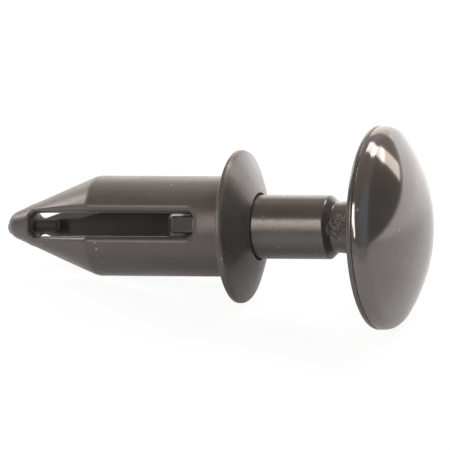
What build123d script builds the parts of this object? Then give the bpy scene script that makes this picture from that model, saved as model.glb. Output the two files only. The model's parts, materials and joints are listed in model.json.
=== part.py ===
from build123d import *
from math import atan, cos, degrees, radians, sin, tan
import os

os.makedirs("parts", exist_ok=True)

# A plastic push rivet of two mouldings: a slotted sleeve, and a headed pin that slides in it.
# Distances along the axis are measured from the seat, the flat under the flange that lands on
# the panel: below zero towards the nose, above zero towards the head. All sizes are millimetres.

# Sleeve, outside
shank_radius = 3.175
nose_at = -15.35
nose_radius = 0.95
cone_angle = 22.7
shoulder_blend = 1.2
flange_radius = 4.84
rim_height = 0.29
rim_edge = 0.05
crown_height = 1.44
crown_radius = 10.0

# Sleeve, inside: a full bore that guides the pin, a taper that the pin wedges open, and a pilot
bore_radius = 2.09
mouth_radius = 2.22
mouth_depth = 0.25
taper_end = -11.0
taper_angle = 16.0
pilot_radius = 1.26
pilot_end = -12.75
pilot_end_radius = 1.18
pilot_point = 0.6
core_radius = 0.43
core_depth = 0.5

# Slots that part the three legs
slot_count = 3
slot_turn = 55.5
slot_width = 1.5
slot_start = -13.62
slot_end = -2.09
slot_corner = 0.45
slot_edge = 0.1

# Pin, shown pulled out until its lugs meet the ends of the slots
pin_radius = 2.025
pin_play = 0.07
tip_at = -4.2
tip_edge = 0.15
tip_draft = 0.03
groove_start = 6.13
groove_floor_start = 6.56
groove_floor_end = 6.84
groove_end = 7.32
groove_radius = 1.62
groove_edge = 0.12
head_at = 9.22
head_radius = 6.44
head_band = 0.96
head_edge = 0.1
head_round = 0.9
head_dome_radius = 10.35
head_root = 0.3
seated_gap = 0.03

# Retaining lugs, one in each slot
lug_gap = 0.1
lug_length = 1.97
lug_width = 1.3
lug_corner = 0.4
lug_core = 0.5
lug_waist = 1.75
lug_top = 2.42
lug_draft = 15.0

# The rivet lies as it comes to rest, with the lower edges of both rims on the floor.
rest_tilt = degrees(atan((head_radius - flange_radius) / (head_at + head_edge - rim_edge)))
along = Vector(cos(radians(rest_tilt)), 0, sin(radians(rest_tilt)))
above = Vector(-sin(radians(rest_tilt)), 0, cos(radians(rest_tilt)))
spin = Axis((0, 0, 0), along)
slot_angles = [slot_turn + 360 * place / slot_count for place in range(slot_count)]

# How near an edge lies to the surface that it is picked by
skin_slack = 0.03
radius_slack = 1e-6


def facing(angle, height=0.0):
    """Plane beside the axis, square to the direction at this angle from the top of the rivet."""
    outward = above.rotate(spin, angle)
    return Plane(origin=outward * height, x_dir=along, z_dir=outward)


def on_the_skin(edge):
    """Whether an edge lies on the outside of the legs, on their cone or on their shank."""
    at = edge.center().dot(along)
    skin = shank_radius - max(0, shoulder_at - at) * tan(lean)
    return abs((edge.center() - along * at).length - skin) < skin_slack


def circle_of(radius):
    """Picks the circular edges of this radius."""
    return lambda edge: edge.geom_type == GeomType.CIRCLE and abs(edge.radius - radius) < radius_slack


# The round nose runs smoothly into the cone.
lean = radians(cone_angle)
nose_half = radians(90 - cone_angle) / 2
nose_centre = nose_at + nose_radius
nose_middle = (nose_centre - nose_radius * cos(nose_half), nose_radius * sin(nose_half))
nose_tangent = (nose_centre - nose_radius * sin(lean), nose_radius * cos(lean))
shoulder_at = nose_tangent[0] + (shank_radius - nose_tangent[1]) / tan(lean)
taper_start = taper_end + (bore_radius - pilot_radius) / tan(radians(taper_angle))

# Both mouldings are turned from a half section that lies in the middle of the first slot.
section = Plane(origin=(0, 0, 0), x_dir=along, z_dir=along.cross(above.rotate(spin, slot_turn)))

with BuildPart() as sleeve:
    with BuildSketch(section):
        with BuildLine():
            ThreePointArc((nose_at, 0), nose_middle, nose_tangent)
            FilletPolyline(
                nose_tangent,
                (shoulder_at, shank_radius),
                (0, shank_radius),
                radius=shoulder_blend,
            )
            Polyline((0, shank_radius), (0, flange_radius), (rim_height, flange_radius))
            RadiusArc((rim_height, flange_radius), (crown_height, mouth_radius), crown_radius)
            Polyline(
                (crown_height, mouth_radius),
                (crown_height - mouth_depth, bore_radius),
                (taper_start, bore_radius),
                (taper_end, pilot_radius),
                (pilot_end, pilot_end_radius),
                (pilot_end - pilot_point, 0),
                (nose_at, 0),
            )
        make_face()
    revolve(axis=spin)
    chamfer(sleeve.edges().filter_by(circle_of(flange_radius)), rim_edge)
    with BuildSketch(*[facing(angle) for angle in slot_angles]):
        with Locations(((slot_start + slot_end) / 2, 0)):
            RectangleRounded(slot_end - slot_start, slot_width, slot_corner)
    extrude(amount=shank_radius + slot_width, mode=Mode.SUBTRACT)
    chamfer(sleeve.edges(Select.NEW).filter_by(on_the_skin), slot_edge)
    with BuildSketch(Plane(origin=along * (slot_start - core_depth), x_dir=above, z_dir=along)):
        Circle(core_radius)
    extrude(amount=pilot_end - slot_start + core_depth)

# With the head down on the crown, the pin's tapered end just fits the pilot and the taper.
stroke = head_at - crown_height - seated_gap
tip_radius = pilot_radius - pin_play
tip_taper_end = taper_end + stroke
tip_taper_start = tip_taper_end + (pin_radius - tip_radius) / tan(radians(taper_angle))
apex_at = head_at + head_band + head_dome_radius - (head_dome_radius**2 - head_radius**2) ** 0.5
lug_end = slot_end - lug_gap

with BuildPart() as pin:
    with BuildSketch(section):
        with BuildLine():
            Polyline(
                (tip_at, 0),
                (tip_at, tip_radius - tip_draft - tip_edge),
                (tip_at + tip_edge, tip_radius - tip_draft),
                (tip_taper_end, tip_radius),
                (tip_taper_start, pin_radius),
                (groove_start, pin_radius),
                (groove_floor_start, groove_radius),
                (groove_floor_end, groove_radius),
                (groove_end, pin_radius),
                (head_at, pin_radius),
                (head_at, head_radius),
                (head_at + head_band, head_radius),
            )
            RadiusArc((head_at + head_band, head_radius), (apex_at, 0), head_dome_radius)
            Line((apex_at, 0), (tip_at, 0))
        make_face()
    revolve(axis=spin)
    rims = pin.edges().filter_by(circle_of(head_radius)).sort_by(spin)
    chamfer(rims[0], head_edge)
    fillet(rims[1], head_round)
    fillet(pin.edges().filter_by(circle_of(groove_radius)), groove_edge)
    steps = pin.edges().filter_by(circle_of(pin_radius)).sort_by(spin)
    fillet(steps[-1], head_root)
    fillet(steps[-3:-1], groove_edge)
    with BuildSketch(*[facing(angle, lug_waist) for angle in slot_angles]) as lug_outline:
        with Locations((lug_end - lug_length / 2, 0)):
            RectangleRounded(lug_length, lug_width, lug_corner)
    extrude(amount=lug_core - lug_waist)
    extrude(lug_outline.sketch, amount=lug_top - lug_waist, taper=lug_draft)

for piece, name in ((sleeve, "sleeve"), (pin, "pin")):
    piece.part.label = name
    export_step(piece.part, f"parts/{name}.step")
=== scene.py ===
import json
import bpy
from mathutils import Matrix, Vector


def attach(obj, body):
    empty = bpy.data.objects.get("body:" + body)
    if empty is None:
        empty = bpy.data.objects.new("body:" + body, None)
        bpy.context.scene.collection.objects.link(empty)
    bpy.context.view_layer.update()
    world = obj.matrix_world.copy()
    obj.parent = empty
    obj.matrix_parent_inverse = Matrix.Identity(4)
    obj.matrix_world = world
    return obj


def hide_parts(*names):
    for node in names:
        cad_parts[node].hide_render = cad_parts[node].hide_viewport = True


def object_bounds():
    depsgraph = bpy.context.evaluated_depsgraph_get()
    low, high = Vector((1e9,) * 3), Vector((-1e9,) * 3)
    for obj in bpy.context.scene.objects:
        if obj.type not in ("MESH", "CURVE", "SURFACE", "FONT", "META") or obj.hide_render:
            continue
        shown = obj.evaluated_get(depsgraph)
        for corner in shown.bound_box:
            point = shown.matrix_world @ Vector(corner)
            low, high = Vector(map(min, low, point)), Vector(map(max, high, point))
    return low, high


bl_info = {
    "name": "Push Rivet",
    "version": (1, 0, 0),
    "blender": (4, 5, 0),
    "location": "View3D > Sidebar > Push Rivet",
    "description": "Dresses a two-piece plastic push rivet and sets it in a small studio",
    "category": "Add Mesh",
}

from math import asin, cos, pi, radians, sin, tan

import bpy
import numpy as np
from bpy.props import FloatProperty, FloatVectorProperty, PointerProperty
from mathutils import Quaternion, Vector

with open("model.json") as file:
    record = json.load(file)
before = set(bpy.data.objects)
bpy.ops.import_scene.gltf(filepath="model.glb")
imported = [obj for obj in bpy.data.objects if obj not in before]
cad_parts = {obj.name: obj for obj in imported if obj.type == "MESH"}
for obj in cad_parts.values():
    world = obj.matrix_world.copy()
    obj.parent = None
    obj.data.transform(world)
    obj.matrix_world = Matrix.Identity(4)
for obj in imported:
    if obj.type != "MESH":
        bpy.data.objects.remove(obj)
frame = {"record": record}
cad_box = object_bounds()

MM = 0.001

# Corners that round to the same point of this fine lattice are one point of a mesh. The shift
# keeps places on round sizes away from the borders where the rounding turns.
LATTICE = 1e-5 * MM
LATTICE_SHIFT = 0.271

# The rivet's own directions, from the imported shank mount: along runs from nose to head.
shank_mount = next(m for m in frame["record"]["mounts"] if m["name"] == "shank")
ALONG = -np.array(shank_mount["axis"], float)
ALONG /= np.linalg.norm(ALONG)
NEAR = np.array([0.0, -1.0, 0.0])
ABOVE = np.cross(NEAR, ALONG)
TILT = asin(float(ALONG[2]))
FLOOR = float(cad_box[0][2])

# The studio: half the floor's side, the middle of the painted shade that darkens the floor near
# the rivet in gloss, the lamps' distance from the seat, and the camera's sensor in millimetres.
FLOOR_REACH = 3.0
PAINTED_SHADE_CENTRE = (2.5 * MM, 3.5 * MM)
LAMP_DISTANCE = 0.8
SENSOR = 36


def length(name, description, millimetres):
    """A length that the panel shows, stored in metres."""
    return FloatProperty(
        name=name, description=description, default=millimetres * MM,
        unit="LENGTH", precision=5, step=1,
    )


def angle(name, description, turn):
    """An angle that the panel shows in degrees, stored in radians."""
    return FloatProperty(
        name=name, description=description, default=radians(turn), subtype="ANGLE"
    )


def tone(name, description, colour):
    """A colour that the panel shows, in linear light."""
    return FloatVectorProperty(
        name=name, description=description, default=colour,
        subtype="COLOR", size=3, min=0.0, max=1.0,
    )


def share(name, description, value):
    """A plain number between nothing and one, such as a roughness."""
    return FloatProperty(
        name=name, description=description, default=value, min=0.0, max=1.0, subtype="FACTOR"
    )


class SleeveSizes(bpy.types.PropertyGroup):
    shank_radius: length("Shank radius", "Outside of the three legs", shank_mount["dims"]["r_mm"])
    nose_at: length("Nose", "Tip of the nose, from the seat", -15.35)
    nose_radius: length("Nose radius", "Round end of the cone", 0.95)
    cone_angle: angle("Cone angle", "Lean of the cone to the rivet's axis", 22.7)
    shoulder_blend: length("Shoulder blend", "Round between cone and shank", 0.7)
    seat_root: length("Seat root", "Round between shank and flange", 0.1)
    flange_radius: length("Flange radius", "Outside of the flange", 4.84)
    rim_height: length("Rim height", "Flat edge of the flange", 0.34)
    rim_edge: length("Rim edge", "Round on the flange's lower edge", 0.07)
    crown_edge: length("Crown edge", "Round between the flange's rim and its crown", 0.24)
    crown_height: length("Crown height", "Top of the domed flange", 1.44)
    crown_radius: length("Crown radius", "Curve of the domed flange", 24.0)
    mouth_radius: length("Mouth radius", "Where the crown meets the flared mouth", 2.16)
    mouth_depth: length("Mouth depth", "Length of the flared mouth", 0.14)
    mouth_edge: length("Mouth edge", "Round between crown and mouth", 0.06)
    bore_radius: length("Bore radius", "Bore that guides the pin", 2.09)
    taper_end: length("Taper end", "Narrow end of the tapered bore", -11.0)
    taper_angle: angle("Taper angle", "Lean of the tapered bore", 16.0)
    pilot_radius: length("Pilot radius", "Small bore past the taper", 1.26)
    pilot_end: length("Pilot end", "Last full section of the small bore", -12.75)
    pilot_end_radius: length("Pilot end radius", "Small bore at its end", 1.18)
    pilot_point: length("Pilot point", "Cone that closes the small bore", 0.6)
    slot_start: length("Slot start", "End of the slots in the nose", -13.62)
    slot_end: length("Slot end", "End of the slots in the collar", -2.09)
    slot_width: length("Slot width", "Across each slot", 1.5)
    slot_corner: length("Slot corner", "Round corners of each slot", 0.45)
    slot_edge: length("Slot edge", "Round on the slots' outer edges, along the shank", 0.36)
    slot_edge_nose: length("Slot edge, nose", "Round on the slots' outer edges, in the nose", 0.15)
    slot_turn: angle("Slot turn", "First slot, from the top of the rivet", 55.5)
    core_radius: length("Core radius", "Post in the nose, between the legs", 0.41)
    core_depth: length("Core depth", "How far the post reaches into the solid nose", 0.5)
    core_end: length("Core end", "Free end of the post", -12.08)
    core_root: length("Core root", "Round between the post and the nose", 0.08)
    core_edge: length("Core edge", "Round on the post's free end", 0.08)
    gate_radius: length("Gate mark radius", "Low button left on the nose by moulding", 0.36)
    gate_height: length("Gate mark height", "How far the button stands out at its middle", 0.005)
    gate_lean: angle("Gate mark lean", "From the tip of the nose to the button", 16)
    gate_edge: length("Gate mark edge", "Round on the button's rim", 0.07)
    gate_turn: angle("Gate mark turn", "Side of the nose that the button is on", 146)


class PinSizes(bpy.types.PropertyGroup):
    radius: length("Pin radius", "Shank of the pin", 2.025)
    tip_at: length("Tip", "Leading end of the pin, pulled out", -4.2)
    tip_radius: length("Tip radius", "Leading end, before its taper", 1.19)
    tip_draft: length("Tip draft", "How much the leading end narrows", 0.03)
    tip_edge: length("Tip edge", "Round on the leading end", 0.15)
    tip_taper_end: length("Tip taper end", "Narrow end of the pin's taper", -3.25)
    tip_blend: length("Tip blend", "Round from taper to shank, half that at its narrow end", 0.6)
    groove_start: length("Groove start", "Shoulder of the lock groove", 6.13)
    groove_floor_start: length("Groove floor start", "First end of the groove's flat floor", 6.56)
    groove_floor_end: length("Groove floor end", "Last end of the groove's flat floor", 6.84)
    groove_end: length("Groove end", "Where the groove's floor runs into the neck", 7.5)
    neck_radius: length("Neck radius", "Neck under the head, at the groove", 1.7)
    neck_root: length("Neck root", "Neck where it meets the head", 1.84)
    groove_radius: length("Groove radius", "Floor of the lock groove", 1.62)
    groove_edge: length("Groove edge", "Round on the groove's shoulders", 0.18)
    groove_root: length("Groove root", "Round beside the groove's floor", 0.12)
    head_at: length("Head", "Underside of the head", 9.22)
    head_root: length("Head root", "Round between shank and head", 0.3)
    head_root_radius: length("Flat underside", "Flat middle of the head's underside", 3.0)
    skirt_at: length("Skirt", "Rim of the dished underside of the head", 9.08)
    dish_blend: length("Dish blend", "Round between the flat underside and its dished rim", 2.0)
    head_radius: length("Head radius", "Outside of the head", 6.44)
    head_band: length("Head band", "Edge of the head, up to where it would meet the dome", 0.96)
    head_edge: length("Head edge", "Round on the head's lower edge", 0.27)
    head_round: length("Head round", "Round between the head's edge and its dome", 1.0)
    dome_radius: length("Dome radius", "Curve of the head", 10.35)
    torn_at: length("Torn patch", "Middle of the rough patch on the neck", 7.1)
    torn_turn: angle("Torn patch turn", "Side of the neck that the patch is on", 58)
    torn_reach: length("Torn patch reach", "From its middle to where it has faded away", 1.0)
    torn_height: length("Torn patch height", "How far its lumps stand out", 0.11)
    parting_at: length("Parting line", "Fine groove round the head's edge", 9.5)
    parting_width: length("Parting width", "Across the parting groove", 0.11)
    parting_depth: length("Parting depth", "Depth of the parting groove", 0.03)
    lug_end: length("Lug end", "End of the lugs nearest the head", -2.12)
    lug_length: length("Lug length", "Along each lug", 2.02)
    lug_width: length("Lug width", "Across each lug at its waist", 1.42)
    lug_corner: length("Lug corner", "Round corners of each lug", 0.4)
    lug_foot: length("Lug foot", "Where each lug starts, inside the pin", 1.3)
    lug_waist: length("Lug waist", "Where each lug starts to narrow", 1.75)
    lug_top: length("Lug top", "Outer face of each lug, at its middle", 2.46)
    lug_slope: angle("Lug slope", "Rise of each lug's outer face towards the head", 14.0)
    lug_draft: angle("Lug draft", "Lean of each lug's sides", 15.0)
    lug_shift: length("Lug shift", "How far each lug's outer face stands towards the head", 0.18)
    lug_edge: length("Lug edge", "Round on each lug's outer face", 0.14)


class Finish(bpy.types.PropertyGroup):
    nylon_dark: tone("Nylon, dark", "Black nylon in its darker places", (0.044, 0.040, 0.038))
    nylon_light: tone("Nylon, light", "Black nylon in its paler places", (0.054, 0.049, 0.047))
    dust: tone("Dust", "Fine specks of dust and moulding residue", (0.2, 0.19, 0.18))
    satin: share("Sleeve roughness", "Satin surface of the sleeve", 0.39)
    crown: share("Crown roughness", "Smoother top of the flange", 0.26)
    pin_satin: share("Pin roughness", "Satin surface of the pin's shank", 0.27)
    gloss: share("Head roughness", "Polished surface of the head", 0.1)
    hollow: share("Inside roughness", "Dull surface inside the sleeve", 0.75)
    post: share("Post roughness", "Dull surface of the post in the nose", 0.8)


class Studio(bpy.types.PropertyGroup):
    camera_azimuth: angle("Camera azimuth", "Turn from the front towards the head", 15.756)
    camera_elevation: angle("Camera elevation", "Camera's height above the floor", 33.578)
    camera_distance: length("Camera distance", "From the camera to the rivet", 790.0)
    view_width: length("View width", "From side to side of the view", 28.41)
    off_centre_across: length("Across", "Seat's place right of the view's middle", 0.8797)
    off_centre_down: length("Down", "Seat's place under the view's middle", 0.095)


# Surfaces. Each is worked out as a grid of points with a grid of outward normals.

def bend(centre, radius, start, end, steps):
    """Arc in the half section: points at the radius from the centre, from one angle to the other.

    A point is (distance along the rivet, distance from its axis), and an angle is counted from
    the rivet's axis.
    """
    turn = np.linspace(start, end, steps + 1)
    return np.stack([centre[0] + radius * np.cos(turn), centre[1] + radius * np.sin(turn)], 1)


def sagged(start, end, radius, steps):
    """Arc of a large radius that bulges outwards between two points of the half section.

    Its centre is on the chord's perpendicular bisector, at the depth that the radius gives.
    """
    start, end = np.array(start), np.array(end)
    chord = end - start
    half = np.linalg.norm(chord) / 2
    inward = np.array([chord[1], -chord[0]]) / (2 * half)
    if inward[1] > 0:
        inward = -inward
    centre = (start + end) / 2 + inward * (radius**2 - half**2) ** 0.5
    first = np.arctan2(*(start - centre)[::-1])
    last = np.arctan2(*(end - centre)[::-1])
    return bend(centre, radius, first, last, steps)


def soften(points, rounds, steps=7):
    """Half section through the points, with an arc at each corner that has a radius.

    The arc touches both neighbouring stretches at the radius times the tangent of half the turn,
    and its points are that corner's circle at even angles.
    """
    points = np.array(points, float)
    out = []
    for place, point in enumerate(points):
        radius = rounds.get(place, 0.0)
        if not radius:
            out.append(point[None])
            continue
        back = points[place - 1] - point
        ahead = points[place + 1] - point
        back /= np.linalg.norm(back)
        ahead /= np.linalg.norm(ahead)
        half = np.arccos(np.clip(back @ ahead, -1, 1)) / 2
        middle = (back + ahead) / np.linalg.norm(back + ahead)
        centre = point + middle * radius / sin(half)
        from_centre = point + back * radius / tan(half) - centre
        sweep = np.linspace(0, 1, steps + 1)[:, None] * (pi - 2 * half)
        side = np.sign(back[0] * ahead[1] - back[1] * ahead[0])
        across = side * -np.array([-from_centre[1], from_centre[0]])
        out.append(centre + np.cos(sweep) * from_centre + np.sin(sweep) * across)
    return np.concatenate(out)


def refined(section, step):
    """Half section with long stretches divided evenly, so that no step is longer than this."""
    out = [section[:1]]
    for a, b in zip(section[:-1], section[1:]):
        parts = max(1, int(np.ceil(np.linalg.norm(b - a) / step)))
        out.append(a + (b - a) * np.linspace(0, 1, parts + 1)[1:, None])
    return np.concatenate(out)


def section_normals(section):
    """Outward normals of a half section that runs from nose to head along the outside.

    Each is the sum of the two neighbouring stretches' normals, weighted by their lengths.
    """
    step = np.diff(section, axis=0)
    normal = np.stack([-step[:, 1], step[:, 0]], 1)
    total = np.zeros_like(section)
    total[:-1] += normal
    total[1:] += normal
    return total / np.linalg.norm(total, axis=1, keepdims=True)


def spokes(turn):
    """Unit directions away from the axis, at angles from the top of the rivet."""
    turn = np.asarray(turn)[..., None]
    return np.cos(turn) * ABOVE + np.sin(turn) * NEAR


def spun(section, normals, turns, axis=ALONG, above=ABOVE):
    """Half section turned about an axis: a point is its distance along plus its radius out."""
    turns = np.asarray(turns)[..., None]
    out = np.cos(turns) * above + np.sin(turns) * np.cross(axis, above)
    points = section[:, None, :1] * axis + section[:, None, 1:] * out
    facing = normals[:, None, :1] * axis + normals[:, None, 1:] * out
    return points, facing


def turned(corners, rounds, columns, longest=1.0, axis=ALONG, above=ABOVE):
    """Half section from its corners and their rounds, turned all round an axis.

    Its two ends lie on the axis and face along it, and its last column is its first one again.
    """
    section = refined(soften(corners, rounds), longest)
    normals = section_normals(section)
    normals[0], normals[-1] = (-1, 0), (1, 0)
    turns = np.linspace(0, 2 * pi, columns + 1)
    turns[-1] = 0.0
    return spun(section, normals, turns, axis, above)


def beside_slot(local, turn):
    """Points or normals from (along, across, out) beside the slot or lug at this angle."""
    out, side = spokes(turn), spokes(turn + pi / 2)
    return local[..., :1] * ALONG + local[..., 1:2] * side + local[..., 2:] * out


def sheet(points, facing):
    """Faces of a grid and the normal at each corner, as (corner points, corner normals)."""
    def corners(grid):
        quads = np.stack([grid[:-1, :-1], grid[1:, :-1], grid[1:, 1:], grid[:-1, 1:]], 2)
        return quads.reshape(-1, 4, 3)

    quads, normals = corners(points), corners(facing)
    cut = np.cross(quads[:, 2] - quads[:, 0], quads[:, 3] - quads[:, 1])
    if (cut * normals.mean(1)).sum() < 0:
        quads, normals = quads[:, ::-1], normals[:, ::-1]
    return quads, normals


def build(name, sheets, body, material, replaces=()):
    """One closed mesh from several sheets: corners that meet become one point of the mesh.

    Points are matched on a fine lattice, a quad that has lost a corner becomes a triangle, and
    every corner keeps its own sheet's normal, so that rounds stay smooth and edges stay crisp.
    """
    quads = np.concatenate([s[0] for s in sheets])
    normals = np.concatenate([s[1] for s in sheets])
    lattice = np.round(quads.reshape(-1, 3) / LATTICE + LATTICE_SHIFT).astype(np.int64)
    _, first, index = np.unique(lattice, axis=0, return_index=True, return_inverse=True)
    points = quads.reshape(-1, 3)[first]
    index = index.reshape(-1, 4)
    keep = index != np.roll(index, 1, axis=1)
    count = keep.sum(1)
    whole = count > 2
    index, normals, keep, count = index[whole], normals[whole], keep[whole], count[whole]
    mesh = bpy.data.meshes.new(name)
    mesh.vertices.add(len(points))
    mesh.vertices.foreach_set("co", points.ravel())
    mesh.loops.add(int(count.sum()))
    mesh.loops.foreach_set("vertex_index", index[keep])
    mesh.polygons.add(len(count))
    mesh.polygons.foreach_set("loop_start", np.concatenate([[0], np.cumsum(count)[:-1]]))
    mesh.update(calc_edges=True)
    mesh.shade_smooth()
    mesh.normals_split_custom_set(normals[keep])
    piece = bpy.data.objects.new(name, mesh)
    bpy.context.scene.collection.objects.link(piece)
    mesh.materials.append(material)
    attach(piece, body)
    if replaces:
        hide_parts(*replaces)


# The slots, and the sector from the middle of one to the middle of the next.
SLOTS = 3
SECTOR = 2 * pi / SLOTS

# How finely the pieces are divided: columns of faces round them, steps of the slots' walls, and
# the longest step along a half section.
COLUMNS_SLOT = 12
COLUMNS_LEG = 40
COLUMNS_PIN = 192
COLUMNS_SMALL = 48
STEPS_CORNER = 8
STEPS_EDGE = 6
STEPS_WALL = 8
PLACES_SIDE = 64
SLEEVE_STEP = 0.35 * MM
PIN_STEP = 0.4 * MM

# From the seat: where a slot's outer edge has grown to its full round, and the end of the legs'
# skin, short of the flange. Places that differ by less than a hair count as one.
EDGE_GROWN_AT = -10 * MM
LEGS_END = -0.5 * MM
HAIR = 1e-4 * MM


def shoulder_at(s):
    """Where the cone, which leaves the round nose as its tangent, would meet the shank."""
    touch = s.nose_at + s.nose_radius - s.nose_radius * sin(s.cone_angle)
    rise = s.shank_radius - s.nose_radius * cos(s.cone_angle)
    return touch + rise / tan(s.cone_angle)


def sleeve_outside(s):
    """Half section of the sleeve from the tip of the nose to the bore, in metres."""
    centre = (s.nose_at + s.nose_radius, 0.0)
    nose = bend(centre, s.nose_radius, pi, pi / 2 + s.cone_angle, steps=16)
    rim, mouth = (s.rim_height, s.flange_radius), (s.crown_height, s.mouth_radius)
    crown = sagged(rim, mouth, s.crown_radius, steps=14)
    corners = [
        *nose,
        (shoulder_at(s), s.shank_radius),
        (0.0, s.shank_radius),
        (0.0, s.flange_radius),
        *crown,
        (s.crown_height - s.mouth_depth, s.bore_radius),
        (s.slot_end, s.bore_radius),
    ]
    shoulder_place = len(nose)
    rim_place = shoulder_place + 3
    rounds = {
        shoulder_place: s.shoulder_blend,
        shoulder_place + 1: s.seat_root,
        shoulder_place + 2: s.rim_edge,
        rim_place: s.crown_edge,
        rim_place + len(crown) - 1: s.mouth_edge,
    }
    return corners, rounds


def sleeve_inside(s):
    """Half section of the bore from the slots' ends to the point that closes it."""
    taper_start = s.taper_end + (s.bore_radius - s.pilot_radius) / tan(s.taper_angle)
    return np.array([
        (s.slot_end, s.bore_radius),
        (taper_start, s.bore_radius),
        (s.taper_end, s.pilot_radius),
        (s.pilot_end, s.pilot_end_radius),
        (s.pilot_end - s.pilot_point, 0.0),
        (s.slot_start, 0.0),
    ])


def slot_loop(s, side_places):
    """Half of the line round a slot: the corner circles' centres, and the directions out of it.

    It runs from the middle of the end in the nose, round a corner, along a side and round the
    other corner to the middle of the end in the collar.
    """
    flat = s.slot_width / 2 - s.slot_corner
    near_end, far_end = s.slot_start + s.slot_corner, s.slot_end - s.slot_corner
    across = np.linspace(0, flat, COLUMNS_SLOT // 2 + 1)
    turn = np.linspace(0, pi / 2, STEPS_CORNER + 1)[1:]
    back = np.linspace(pi / 2, 0, STEPS_CORNER + 1)[:-1]
    sides = len(side_places)
    places = np.concatenate([
        np.full(len(across) + len(turn), near_end),
        side_places,
        np.full(len(back) + len(across), far_end),
    ])
    width = np.concatenate([across, np.full(len(turn) + sides + len(back), flat), across[::-1]])
    end, none = np.ones(len(across)), np.zeros(len(across))
    normal_along = np.concatenate([-end, -np.cos(turn), np.zeros(sides), np.cos(back), end])
    normal_across = np.concatenate([none, np.sin(turn), np.ones(sides), np.sin(back), none])
    return places, width, normal_along, normal_across


def slot_walls(s, skin, skin_normals):
    """Half of a slot's wall, in rows of points and normals from the sleeve's skin to the bore.

    The rounded edge is an arc of a circle that touches both the skin and the wall: its centre is
    on the skin moved inwards by its radius, and its points swing evenly from the skin's normal to
    the wall's. Below it the wall goes straight down to the bore, or to the plane where the next
    slot's wall meets it. A point is (along, across, out), from the middle of the slot. Last come
    the skin's normals, as (along, out).
    """
    bore = sleeve_inside(s)

    def edge_at(place):
        """Radius of the slots' outer edges, which grows along the cone."""
        return np.interp(place, [s.slot_start, EDGE_GROWN_AT], [s.slot_edge_nose, s.slot_edge])

    inner = skin - skin_normals * edge_at(skin[:, :1])
    on_legs = skin[:, 0] < LEGS_END
    on_legs &= np.cumsum(~on_legs) == 0

    # Places along the slots' sides: even, with one at each change of the bore, and one where it
    # is as narrow as the corner in which two slots' walls meet.
    sides = np.linspace(s.slot_start + s.slot_corner, s.slot_end - s.slot_corner, PLACES_SIDE)
    corner_radius = s.slot_width / 2 / sin(SECTOR / 2)
    corner_at = s.pilot_end - s.pilot_point * (1 - corner_radius / s.pilot_end_radius)
    marks = np.array([corner_at, s.pilot_end, s.taper_end, bore[1, 0]])
    sides[np.abs(sides[:, None] - marks).argmin(0)] = marks
    places, width, n_along, n_across = slot_loop(s, sides[1:])
    edge = edge_at(places)

    # Centres of the edge circles, and the normals of the skin and of the wall that they touch.
    centre_at = places + (s.slot_corner + edge) * n_along
    centre_across = width + (s.slot_corner + edge) * n_across
    radius, skin_along, skin_out = (
        np.interp(centre_at, inner[on_legs, 0], values[on_legs])
        for values in (inner[:, 1], skin_normals[:, 0], skin_normals[:, 1])
    )
    centre_height = np.sqrt(radius**2 - centre_across**2)
    skin_n = np.stack([
        skin_along, skin_out * centre_across / radius, skin_out * centre_height / radius
    ], 1)
    wall_n = -np.stack([n_along, n_across, np.zeros_like(n_along)], 1)
    between = np.arccos(np.clip((skin_n * wall_n).sum(1), -1, 1))[:, None]
    centre = np.stack([centre_at, centre_across, centre_height], 1)
    rows, normals = [], []
    for part in np.linspace(0, 1, STEPS_EDGE + 1):
        swung = np.sin((1 - part) * between) * skin_n + np.sin(part * between) * wall_n
        swung = swung / np.sin(between)
        rows.append(centre + edge[:, None] * swung)
        normals.append(swung)

    top = rows[-1]
    across = top[:, 1]
    bore_radius = np.interp(top[:, 0], bore[::-1, 0], bore[::-1, 1])
    in_bore = np.sqrt(np.maximum(bore_radius**2 - across**2, 0)) * (bore_radius > across)
    floor = np.maximum(in_bore, np.abs(across) / tan(SECTOR / 2))
    for part in np.linspace(0, 1, STEPS_WALL + 1)[1:]:
        level = top.copy()
        level[:, 2] += (floor - top[:, 2]) * part
        rows.append(level)
        normals.append(wall_n)
    return np.array(rows), np.array(normals), np.stack([skin_along, skin_out], 1)


def polar(points):
    """Angle and distance from the axis of points beside a slot."""
    return np.arctan2(points[:, 1], points[:, 2]), np.hypot(points[:, 1], points[:, 2])


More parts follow.
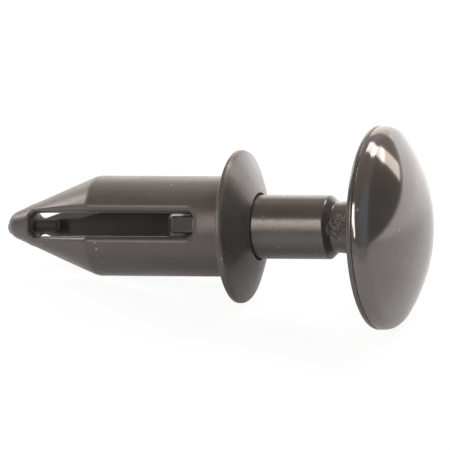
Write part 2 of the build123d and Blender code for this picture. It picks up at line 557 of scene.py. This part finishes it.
class RIVET_OT_sleeve(bpy.types.Operator):
    """Make the slotted sleeve: nose, three legs, collar and domed flange in one closed skin"""

    bl_idname = "rivet.sleeve"
    bl_label = "Slotted Sleeve"

    def execute(self, context):
        s = context.scene.rivet_sleeve
        corners, rounds = sleeve_outside(s)
        skin = refined(soften(corners, rounds), SLEEVE_STEP)
        skin_normals = section_normals(skin)
        rows, normals, skin_facing = slot_walls(s, skin, skin_normals)
        bore_facing = np.broadcast_to((0.0, -1.0), skin_facing.shape)
        half = COLUMNS_SLOT // 2
        legs = slice(half, rows.shape[1] - half)
        leg_share = np.linspace(0, 1, COLUMNS_LEG + 1)
        skin_turn, skin_radius = polar(rows[0])
        bore_turn, _ = polar(rows[-1])

        def ring(first):
            """Column angles of one sector, from the middle of a slot to the middle of the next."""
            leg = first[-1] + (SECTOR - 2 * first[-1]) * leg_share[1:-1]
            return np.concatenate([first, leg, SECTOR - first[::-1]])

        nose_turns = ring(skin_turn[: half + 1])
        collar_turns = ring(skin_turn[-1 : -half - 2 : -1])
        bore_turns = ring(bore_turn[-1 : -half - 2 : -1])

        # The nose's half section ends with the slots' own first points, and the collar's starts
        # with their last, so that every sheet meets its neighbours point by point.
        start, end = ((rows[0][place, 0], skin_radius[place]) for place in (0, -1))
        in_nose = skin[:, 0] < start[0] - HAIR
        in_nose &= np.cumsum(~in_nose) == 0
        past = np.cumsum(skin[:, 0] > end[0] + HAIR) > 0
        nose = (
            np.concatenate([skin[in_nose], [start]]),
            np.concatenate([skin_normals[in_nose], skin_facing[:1]]),
        )
        collar = (
            np.concatenate([[end], skin[past]]),
            np.concatenate([skin_facing[-1:], skin_normals[past]]),
        )
        blend = np.linspace(0, 1, len(collar[0]))[:, None]
        past_slots = collar_turns * (1 - blend) + bore_turns * blend
        sheets = []
        for sector in range(SLOTS):
            turn = s.slot_turn + SECTOR * sector
            for mirror in ((1, 1, 1), (1, -1, 1)):
                wall = (beside_slot(values * mirror, turn) for values in (rows, normals))
                sheets.append(sheet(*wall))
            sheets.append(sheet(*spun(*nose, turn + nose_turns)))
            sheets.append(sheet(*spun(*collar, turn + past_slots)))
            for row, facing in ((rows[0], skin_facing), (rows[-1], bore_facing)):
                edge_turn, radius = polar(row[legs])
                columns = turn + edge_turn[:, None] + (SECTOR - 2 * edge_turn[:, None]) * leg_share
                section = np.stack([row[legs, 0], radius], 1)
                sheets.append(sheet(*spun(section, facing[legs], columns)))
        satin = nylon(context.scene, "sleeve_nylon_satin")
        build("sleeve_skin", sheets, "sleeve", satin, ["sleeve"])

        # Post in the nose, between the legs.
        foot = s.slot_start - s.core_depth
        post = [
            (foot, 0.0),
            (foot, s.core_radius + s.core_root),
            (s.slot_start, s.core_radius + s.core_root),
            (s.slot_start, s.core_radius),
            (s.core_end, s.core_radius),
            (s.core_end, 0.0),
        ]
        points = turned(post, {3: s.core_root, 4: s.core_edge}, COLUMNS_SMALL)
        dull = nylon(context.scene, "core_nylon_dull")
        build("nose_core", [sheet(*points)], "sleeve", dull)

        # Gate mark: a low button on the round nose, turned about its own axis.
        inside, level = s.nose_radius / 2, s.nose_radius + s.gate_height
        button = [(inside, 0.0), (inside, s.gate_radius), (level, s.gate_radius), (level, 0.0)]
        side = spokes(s.gate_turn)
        axis = sin(s.gate_lean) * side - cos(s.gate_lean) * ALONG
        square = cos(s.gate_lean) * side + sin(s.gate_lean) * ALONG
        points, facing = turned(button, {2: s.gate_edge}, COLUMNS_SMALL, axis=axis, above=square)
        points = points + ALONG * (s.nose_at + s.nose_radius)
        build("nose_gate", [sheet(points, facing)], "sleeve", satin)
        return {"FINISHED"}


class RIVET_OT_pin(bpy.types.Operator):
    """Make the pin: the taper, shank, groove and neck in one turned skin, the head in another"""

    bl_idname = "rivet.pin"
    bl_label = "Headed Pin"

    def execute(self, context):
        p = context.scene.rivet_pin
        taper_angle = context.scene.rivet_sleeve.taper_angle
        taper_start = p.tip_taper_end + (p.radius - p.tip_radius) / tan(taper_angle)
        # The round touches the edge of the head and the dome, so its centre lies inside both.
        centre = p.head_at + p.head_band - (p.dome_radius**2 - p.head_radius**2) ** 0.5
        round_out = p.head_radius - p.head_round
        round_at = centre + ((p.dome_radius - p.head_round) ** 2 - round_out**2) ** 0.5
        meets = np.arctan2(round_out, round_at - centre)
        rim = bend((round_at, round_out), p.head_round, pi / 2, meets, steps=12)
        dome = bend((centre, 0.0), p.dome_radius, meets, 0.0, steps=48)
        before, past = p.parting_at - p.parting_width / 2, p.parting_at + p.parting_width / 2
        floor = p.head_radius - p.parting_depth
        stem = [
            (p.tip_at, 0.0),
            (p.tip_at, p.tip_radius - p.tip_draft),
            (p.tip_taper_end, p.tip_radius),
            (taper_start, p.radius),
            (p.groove_start, p.radius),
            (p.groove_floor_start, p.groove_radius),
            (p.groove_floor_end, p.groove_radius),
            (p.groove_end, p.neck_radius),
            (p.head_at, p.neck_root),
            (p.head_at, p.head_root_radius),
            (p.skirt_at, p.head_radius),
            (before, p.head_radius),
            (p.parting_at, floor),
            (p.parting_at, 0.0),
        ]
        stem_rounds = {
            1: p.tip_edge, 2: p.tip_blend / 2, 3: p.tip_blend, 4: p.groove_edge, 5: p.groove_root,
            6: p.groove_root, 7: p.groove_edge, 8: p.head_root, 9: p.dish_blend, 10: p.head_edge,
            11: p.parting_width / 4,
        }
        head = [(p.parting_at, 0.0), (p.parting_at, floor), (past, p.head_radius), *rim[:-1]]
        head += [*dome[:-1], (dome[-1][0], 0.0)]
        satin = nylon(context.scene, "pin_nylon_satin")
        gloss = nylon(context.scene, "head_nylon_gloss")
        stem_sheet = sheet(*turned(stem, stem_rounds, COLUMNS_PIN, PIN_STEP))
        head_sheet = sheet(*turned(head, {2: p.parting_width / 4}, COLUMNS_PIN, PIN_STEP))
        build("pin_skin", [stem_sheet], "pin", satin, ["pin"])
        build("pin_dome", [head_sheet], "pin", gloss)
        return {"FINISHED"}


def lug_rows(p):
    """Grid round a lug, from its foot in the pin to the middle of its outer face.

    Each row is a rounded rectangle: a small fixed rectangle grown by one reach all round, so the
    corners' arcs share their centres. The reach follows the drafted side and the rounded edge,
    and the last row closes on the middle. Above the waist, heights grow evenly towards the head,
    and each point moves towards the head by its share of the height. A point is (along, across,
    out), from the lug's middle.
    """
    lean = p.lug_draft
    round_at = p.lug_top - p.lug_edge
    reach_at = p.lug_corner - (round_at - p.lug_waist) * tan(lean) - p.lug_edge / cos(lean)
    arc = bend((reach_at, round_at), p.lug_edge, lean, pi / 2, STEPS_EDGE)
    side = np.array([(p.lug_corner, p.lug_foot), (p.lug_corner, p.lug_waist)])
    lean_in = np.array([(cos(lean), sin(lean))])
    profile = np.concatenate([side, side[1:], arc, arc[-1:]])
    arc_normals = bend((0, 0), 1.0, lean, pi / 2, STEPS_EDGE)
    flat = np.array([(1.0, 0.0)] * 2)
    profile_normals = np.concatenate([flat, lean_in, arc_normals, arc_normals[-1:]])
    turn = np.linspace(0, pi / 2, STEPS_CORNER + 1)
    quarter = np.concatenate([turn + pi / 2 * k for k in range(4)])
    half_along = p.lug_length / 2 - p.lug_corner
    half_across = p.lug_width / 2 - p.lug_corner
    signs = np.repeat([(1, 1), (-1, 1), (-1, -1), (1, -1)], len(turn), axis=0)
    corner = signs * (half_along, half_across)
    out = np.stack([np.cos(quarter), np.sin(quarter)], 1)
    corner, out = np.concatenate([corner, corner[:1]]), np.concatenate([out, out[:1]])

    def grid(flat_part, levels):
        """Rows of points or normals, from their parts in the plane and their heights by row."""
        heights = np.broadcast_to(levels[:, None, None], (*flat_part.shape[:2], 1))
        return np.concatenate([flat_part, heights], 2)

    points = grid(corner + profile[:, None, :1] * out, profile[:, 1])
    normals = grid(profile_normals[:, None, :1] * out, profile_normals[:, 1])
    points = np.concatenate([points, (points[-1] * (0, 0, 1))[None]])
    normals = np.concatenate([normals, normals[-1:]])
    lift = np.clip((points[..., 2] - p.lug_waist) / (p.lug_top - p.lug_waist), 0, 1)
    points[..., 2] += lift * points[..., 0] * tan(p.lug_slope)
    points[..., 0] += lift * p.lug_shift
    normals[..., 0] -= lift * normals[..., 2] * tan(p.lug_slope)
    normals /= np.linalg.norm(normals, axis=2, keepdims=True)
    first = points[0] * (0, 0, 1)
    down = np.broadcast_to((0.0, 0.0, -1.0), normals[0].shape)
    return (points, normals), (np.stack([first, points[0]]), np.stack([down, down]))


class RIVET_OT_lugs(bpy.types.Operator):
    """Make the three lugs that run in the sleeve's slots and hold the pin"""

    bl_idname = "rivet.lugs"
    bl_label = "Retaining Lugs"

    def execute(self, context):
        p = context.scene.rivet_pin
        middle = ALONG * (p.lug_end - p.lug_length / 2)
        grids = lug_rows(p)
        sheets = []
        for sector in range(SLOTS):
            turn = context.scene.rivet_sleeve.slot_turn + SECTOR * sector
            for points, normals in grids:
                points = beside_slot(points, turn) + middle
                sheets.append(sheet(points, beside_slot(normals, turn)))
        build("pin_lugs", sheets, "pin", nylon(context.scene, "pin_nylon_satin"))
        return {"FINISHED"}


def direction(azimuth, elevation):
    """Unit vector towards an azimuth, counted from the front towards the head, and a height."""
    return Vector((sin(azimuth) * cos(elevation), -cos(azimuth) * cos(elevation), sin(elevation)))


class Nodes:
    """Short calls that add and link shader nodes."""

    def __init__(self, owner):
        owner.use_nodes = True
        self.tree = owner.node_tree
        self.tree.nodes.clear()

    def add(self, kind, inputs=None, **settings):
        """New node with its settings and inputs. Another node's socket is linked as an input."""
        node = self.tree.nodes.new(kind)
        for name, value in settings.items():
            setattr(node, name, value)
        for socket, value in (inputs or {}).items():
            if isinstance(value, bpy.types.NodeSocket):
                self.tree.links.new(value, node.inputs[socket])
            else:
                node.inputs[socket].default_value = value
        return node

    def math(self, operation, *values):
        """One step of arithmetic, such as a product or the larger of two values."""
        return self.add("ShaderNodeMath", dict(enumerate(values)), operation=operation).outputs[0]

    def measure(self, operation, *vectors):
        """Number that vector maths gives, such as a distance or a dot product."""
        inputs = dict(enumerate(vectors))
        return self.add("ShaderNodeVectorMath", inputs, operation=operation).outputs["Value"]

    def mix(self, part, first, second):
        """Colour between two others, at a part of the way."""
        inputs = {0: part, 6: first, 7: second}
        return self.add("ShaderNodeMix", inputs, data_type="RGBA").outputs[2]

    def noise(self, place, scale, detail, roughness):
        """Soft noise about one half, in lumps of about one metre over the scale."""
        inputs = {"Vector": place, "Scale": scale, "Detail": detail, "Roughness": roughness}
        return self.add("ShaderNodeTexNoise", inputs).outputs[0]

    def ramp(self, value, low, high, start=0.0, end=1.0, kind="SMOOTHSTEP"):
        """A value between two limits, carried over smoothly to lie between two levels."""
        inputs = {"Value": value, "From Min": low, "From Max": high}
        inputs |= {"To Min": start, "To Max": end}
        return self.add("ShaderNodeMapRange", inputs, interpolation_type=kind).outputs[0]

    def output(self, surface, kind="ShaderNodeOutputMaterial"):
        """Closes the tree with its surface or background."""
        self.add(kind, {"Surface": surface.outputs[0]})


def sleeve_roughness(nodes, place, scene, satin):
    """Roughness of the sleeve: a satin skin, a smoother crown and a dull inside.

    The inside is what lies well below the skin. The skin's radius is the smaller of the cone's
    and the shank's, and from the seat on it is a little more than the bore's.
    """
    s, finish, axis = scene.rivet_sleeve, scene.rivet_finish, tuple(ALONG)
    forward = nodes.measure("DOT_PRODUCT", place, axis)
    beside = nodes.add("ShaderNodeVectorMath", {0: place, 1: axis}, operation="CROSS_PRODUCT")
    away = nodes.measure("LENGTH", beside.outputs[0])
    slope = tan(s.cone_angle)
    cone = nodes.math("MULTIPLY_ADD", forward, slope, s.shank_radius - shoulder_at(s) * slope)
    shank = nodes.ramp(forward, -0.4 * MM, -0.2 * MM, s.shank_radius, 2.5 * MM)
    depth = nodes.math("SUBTRACT", nodes.math("MINIMUM", cone, shank), away)
    past_nose = nodes.ramp(forward, -14.2 * MM, -13.8 * MM)
    below_mouth = nodes.ramp(forward, 1.2 * MM, 0.9 * MM)
    hollow = nodes.math("MULTIPLY", past_nose, below_mouth)
    inside = nodes.math("MULTIPLY", nodes.ramp(depth, 0.35 * MM, 0.6 * MM), hollow)
    outside = nodes.ramp(forward, 0.3 * MM, 0.5 * MM, satin, finish.crown)
    return nodes.math("MAXIMUM", outside, nodes.math("MULTIPLY", inside, finish.hollow))


def torn_patch(nodes, place, p):
    """Height of the torn patch on the pin's neck: noise that fades away from one spot."""
    spot = tuple(ALONG * p.torn_at + spokes(p.torn_turn) * p.neck_radius)
    near = nodes.ramp(nodes.measure("DISTANCE", place, spot), p.torn_reach, p.torn_reach / 2)
    lumps = nodes.ramp(nodes.noise(place, 2600, 3, 0.6), 0.35, 0.65)
    return nodes.math("MULTIPLY", nodes.math("MULTIPLY", near, lumps), p.torn_height)


# Finishes of the nylon: its roughness in the panel, the height of its grain in metres, its haze,
# its refractive index, and where it isn't the same all over.
NYLONS = {
    "sleeve_nylon_satin": ("satin", 1e-6, 0.18, 1.66, "dull inside"),
    "core_nylon_dull": ("post", 1e-6, 0.0, 1.5, None),
    "pin_nylon_satin": ("pin_satin", 0.8e-6, 0.1, 1.66, "torn on the neck"),
    "head_nylon_gloss": ("gloss", 0.1e-6, 0.2, 1.9, None),
}


def nylon(scene, name):
    """Black moulded nylon: warm and slightly mottled, with fine grain and soft flow marks.

    The mottle and the flow marks are noise, stretched along the rivet for the flow. They shift
    the colour, the roughness and the height of the surface together, and a few pale specks of
    dust lie on top.
    """
    material = bpy.data.materials.get(name)
    if material:
        return material
    finish = scene.rivet_finish
    roughness, grain, haze, ior, place_apart = NYLONS[name]
    roughness = getattr(finish, roughness)
    material = bpy.data.materials.new(name)
    nodes = Nodes(material)
    place = nodes.add("ShaderNodeTexCoord").outputs["Object"]
    stretch = {"Vector": place, "Rotation": (0, TILT, 0), "Scale": (0.25, 1, 1)}
    along = nodes.add("ShaderNodeMapping", stretch).outputs[0]
    mottle = nodes.noise(place, 420, 4, 0.6)
    flow = nodes.noise(along, 900, 3, 0.55)
    fine = nodes.noise(place, 7000, 2, 0.5)
    blend = nodes.math("MULTIPLY_ADD", mottle, 0.6, nodes.math("MULTIPLY", flow, 0.4))
    dark, light = (*finish.nylon_dark, 1), (*finish.nylon_light, 1)
    colour = nodes.mix(nodes.ramp(blend, 0.35, 0.65), dark, light)
    specks = nodes.add("ShaderNodeTexVoronoi", {"Vector": place, "Scale": 1100})
    near_speck = nodes.ramp(specks.outputs["Distance"], 0.13, 0.07)
    dust = nodes.math("MULTIPLY", near_speck, nodes.ramp(mottle, 0.53, 0.57))
    if place_apart == "dull inside":
        roughness = sleeve_roughness(nodes, place, scene, roughness)
    uneven = nodes.ramp(blend, 0.3, 0.7, 0.8, 1.15, kind="LINEAR")
    uneven = nodes.math("MULTIPLY_ADD", fine, 0.3, nodes.math("SUBTRACT", uneven, 0.15))
    height = nodes.math("MULTIPLY_ADD", fine, grain, nodes.math("MULTIPLY", blend, grain * 6))
    if place_apart == "torn on the neck":
        height = nodes.math("ADD", height, torn_patch(nodes, place, scene.rivet_pin))
    bump = nodes.add("ShaderNodeBump", {"Height": height, "Strength": 1.0, "Distance": 1.0})
    shader = nodes.add("ShaderNodeBsdfPrincipled", {
        "Base Color": nodes.mix(dust, colour, (*finish.dust, 1)),
        "Roughness": nodes.math("MULTIPLY", roughness, uneven),
        "Normal": bump.outputs[0],
        "IOR": ior,
        "Specular Tint": (1.0, 0.88, 0.84, 1),
        "Sheen Weight": haze,
        "Sheen Roughness": 0.4,
        "Sheen Tint": (1.0, 0.84, 0.74, 1),
    })
    nodes.output(shader)
    return material


def seen_only(nodes):
    """One for what the camera sees, directly or in gloss, and nothing for light that it casts."""
    path = nodes.add("ShaderNodeLightPath").outputs
    seen = nodes.math("MAXIMUM", path["Is Camera Ray"], path["Is Glossy Ray"])
    return path, nodes.math("MAXIMUM", seen, path["Is Transmission Ray"])


# The floor: the shade that takes the shadow and the glow just under white that the camera sees,
# and the plain colour that lights the rivet.
PAPER_SHADE = (0.14, 0.14, 0.14, 1)
PAPER_GLOW = 0.91
PLAIN_FLOOR = (0.8, 0.8, 0.8, 1)


def floor_material():
    """White floor that keeps the rivet's soft shadow; in gloss, painted shade darkens it near the
    rivet and painted light brightens it further behind.
    """
    material = bpy.data.materials.new("floor_white")
    nodes = Nodes(material)
    path, seen = seen_only(nodes)

    def paper(tint, glow):
        """Matt surface that also glows by itself."""
        matt = nodes.add("ShaderNodeBsdfDiffuse", {"Color": tint}).outputs[0]
        own_light = nodes.add("ShaderNodeEmission", {"Strength": glow}).outputs[0]
        return nodes.add("ShaderNodeAddShader", {0: matt, 1: own_light}).outputs[0]

    place = nodes.add("ShaderNodeTexCoord").outputs["Object"]
    # Painted shade and painted light, seen only in gloss: the floor's tint and glow are lower near
    # the rivet, and the glow rises further behind it.
    painted_shade_distance = nodes.measure("DISTANCE", place, (*PAINTED_SHADE_CENTRE, FLOOR))
    behind = nodes.add("ShaderNodeSeparateXYZ", {"Vector": place}).outputs["Y"]
    painted_shade_glow = nodes.ramp(painted_shade_distance, 2 * MM, 16 * MM, 0.1, 0.3)
    glow = nodes.math("MAXIMUM", painted_shade_glow, nodes.ramp(behind, 4 * MM, 30 * MM))
    painted_shade_and_light_in_gloss = paper(nodes.ramp(painted_shade_distance, 2 * MM, 9 * MM, 0.45, 0.85), glow)
    direct = paper(PAPER_SHADE, PAPER_GLOW)
    plain = nodes.add("ShaderNodeBsdfDiffuse", {"Color": PLAIN_FLOOR}).outputs[0]
    indirect = nodes.add("ShaderNodeMixShader", {0: seen, 1: plain, 2: painted_shade_and_light_in_gloss}).outputs[0]
    inputs = {0: path["Is Camera Ray"], 1: indirect, 2: direct}
    nodes.output(nodes.add("ShaderNodeMixShader", inputs))
    return material


# The room: its walls, the light off the floor below them, the plain light that it casts on the
# rivet, and what the camera sees of it.
WALLS = (0.42, 0.41, 0.4)
FLOOR_LIGHT = (0.9, 0.88, 0.86, 1)
PLAIN_LIGHT = (0.35, 0.35, 0.35, 1)
WHITE = (1, 1, 1, 1)

# Soft patches of the walls: azimuth, elevation, the angles from there to the rim and the full
# core, in degrees, and what each adds to the walls' colour.
ROOM_PATCHES = (
    (60, 36, 42, 14, (0.1, 0.18, 0.3)),
    (112, 4, 34, 12, (-0.3, -0.3, -0.3)),
    (-150, 20, 50, 20, (0.25, 0.25, 0.25)),
    (168, 34, 26, 10, (0.12, 0.18, 0.3)),
    (-170, 45, 75, 30, (0.07, -0.01, -0.1)),
)


def room(world):
    """Room round the floor: pale walls behind, dim ones to the right, and a plain soft light."""
    nodes = Nodes(world)
    path, seen = seen_only(nodes)
    towards = nodes.add("ShaderNodeTexCoord").outputs["Generated"]
    x, y, z = nodes.add("ShaderNodeSeparateXYZ", {"Vector": towards}).outputs
    colour = WALLS
    for azimuth, elevation, rim, core, tint in ROOM_PATCHES:
        middle = direction(radians(azimuth), radians(elevation))
        close = nodes.measure("DOT_PRODUCT", towards, middle)
        inside = nodes.ramp(close, cos(radians(rim)), cos(radians(core)))
        inputs = {0: inside, 1: tint, 2: colour}
        colour = nodes.add("ShaderNodeVectorMath", inputs, operation="MULTIPLY_ADD").outputs[0]
    # The floor's light rises higher in front than to the right.
    azimuth = nodes.math("ARCTAN2", x, nodes.math("MULTIPLY", y, -1.0))
    skyline = nodes.ramp(azimuth, radians(95), radians(30), 0.01, 0.2)
    low = nodes.ramp(nodes.math("SUBTRACT", skyline, z), -0.01, 0.01)
    colour = nodes.mix(low, colour, FLOOR_LIGHT)
    colour = nodes.mix(path["Is Camera Ray"], colour, WHITE)
    colour = nodes.mix(seen, PLAIN_LIGHT, colour)
    nodes.output(nodes.add("ShaderNodeBackground", {"Color": colour}), "ShaderNodeOutputWorld")


def lamp(
    scene, name, azimuth, elevation, wide, high, radiance,
    tint=(1, 1, 1), shape="RECTANGLE", turn=0,
):
    """Soft box that faces the seat from a direction, as wide and high as the degrees it fills."""
    light = bpy.data.lights.new(name, "AREA")
    light.shape = shape
    light.size = 2 * LAMP_DISTANCE * tan(radians(wide / 2))
    light.size_y = 2 * LAMP_DISTANCE * tan(radians(high / 2))
    share_of_box = pi / 4 if shape == "ELLIPSE" else 1
    light.energy = radiance * pi * light.size * light.size_y * share_of_box
    light.color = tint
    holder = bpy.data.objects.new(name, light)
    scene.collection.objects.link(holder)
    away = direction(radians(azimuth), radians(elevation))
    holder.location = away * LAMP_DISTANCE
    holder.rotation_mode = "QUATERNION"
    rolled = Quaternion((0, 0, 1), radians(turn))
    holder.rotation_quaternion = away.to_track_quat("Z", "Y") @ rolled


class RIVET_OT_stage(bpy.types.Operator):
    """Make the floor, the camera, the lamps and the world"""

    bl_idname = "rivet.stage"
    bl_label = "Studio"

    def execute(self, context):
        scene = context.scene
        g = scene.rivet_studio
        towards = direction(g.camera_azimuth, g.camera_elevation)
        camera = bpy.data.objects.new("camera", bpy.data.cameras.new("camera"))
        scene.collection.objects.link(camera)
        look = (-towards).to_track_quat("-Z", "Y")
        right, up = look @ Vector((1, 0, 0)), look @ Vector((0, 1, 0))
        off_centre = up * g.off_centre_down - right * g.off_centre_across
        camera.location = towards * g.camera_distance + off_centre
        camera.rotation_mode = "QUATERNION"
        camera.rotation_quaternion = look
        camera.data.sensor_width = SENSOR
        camera.data.lens = SENSOR * g.camera_distance / g.view_width
        camera.data.clip_start, camera.data.clip_end = 0.01, 10
        scene.camera = camera

        mesh = bpy.data.meshes.new("floor")
        corners = ((-1, -1), (1, -1), (1, 1), (-1, 1))
        points = [(x * FLOOR_REACH, y * FLOOR_REACH, FLOOR) for x, y in corners]
        mesh.from_pydata(points, [], [(0, 1, 2, 3)])
        floor = bpy.data.objects.new("floor", mesh)
        scene.collection.objects.link(floor)
        mesh.materials.append(floor_material())

        # Lamps by azimuth, elevation, width and height in degrees, and radiance.
        lamp(scene, "lamp_window_foot", 139.6, 9.5, 9.5, 14, 4.2, (1.0, 0.93, 0.84))
        lamp(scene, "lamp_window", 142.9, 27.5, 10.5, 28, 6.5, turn=-16)
        lamp(scene, "lamp_window_corner", 151.5, 42, 15, 18, 6.5, turn=-45)
        lamp(scene, "lamp_window_top", 176, 47.5, 38, 17, 7.5, turn=-3)
        lamp(scene, "lamp_back", -165, 2, 76, 34, 1.7, (1.0, 0.89, 0.78), shape="ELLIPSE")
        lamp(scene, "lamp_left", -112, 20, 12, 22, 11.0)
        lamp(scene, "lamp_front", -25.2, 34.2, 37, 6, 15.0, (1.0, 0.96, 0.92), turn=-52)
        scene.world = bpy.data.worlds.new("room")
        room(scene.world)
        scene.view_settings.view_transform = "Standard"
        return {"FINISHED"}


class RIVET_PT_panel(bpy.types.Panel):
    """The rivet's sizes and the buttons that make its pieces"""

    bl_label = "Push Rivet"
    bl_idname = "RIVET_PT_panel"
    bl_space_type = "VIEW_3D"
    bl_region_type = "UI"
    bl_category = "Push Rivet"

    def draw(self, context):
        for operator in STEPS:
            self.layout.operator(operator.bl_idname)
        for group_name in GROUPS:
            group = getattr(context.scene, group_name)
            box = self.layout.box()
            for name in group.__annotations__:
                box.prop(group, name)


STEPS = (RIVET_OT_stage, RIVET_OT_sleeve, RIVET_OT_pin, RIVET_OT_lugs)
GROUPS = {
    "rivet_sleeve": SleeveSizes,
    "rivet_pin": PinSizes,
    "rivet_finish": Finish,
    "rivet_studio": Studio,
}
CLASSES = (*GROUPS.values(), *STEPS, RIVET_PT_panel)


def register():
    for cls in CLASSES:
        bpy.utils.register_class(cls)
    for name, group in GROUPS.items():
        setattr(bpy.types.Scene, name, PointerProperty(type=group))


def unregister():
    for name in GROUPS:
        delattr(bpy.types.Scene, name)
    for cls in reversed(CLASSES):
        bpy.utils.unregister_class(cls)


def main():
    register()
    bpy.ops.rivet.stage()
    bpy.ops.rivet.sleeve()
    bpy.ops.rivet.pin()
    bpy.ops.rivet.lugs()


if __name__ == "__main__":
    main()
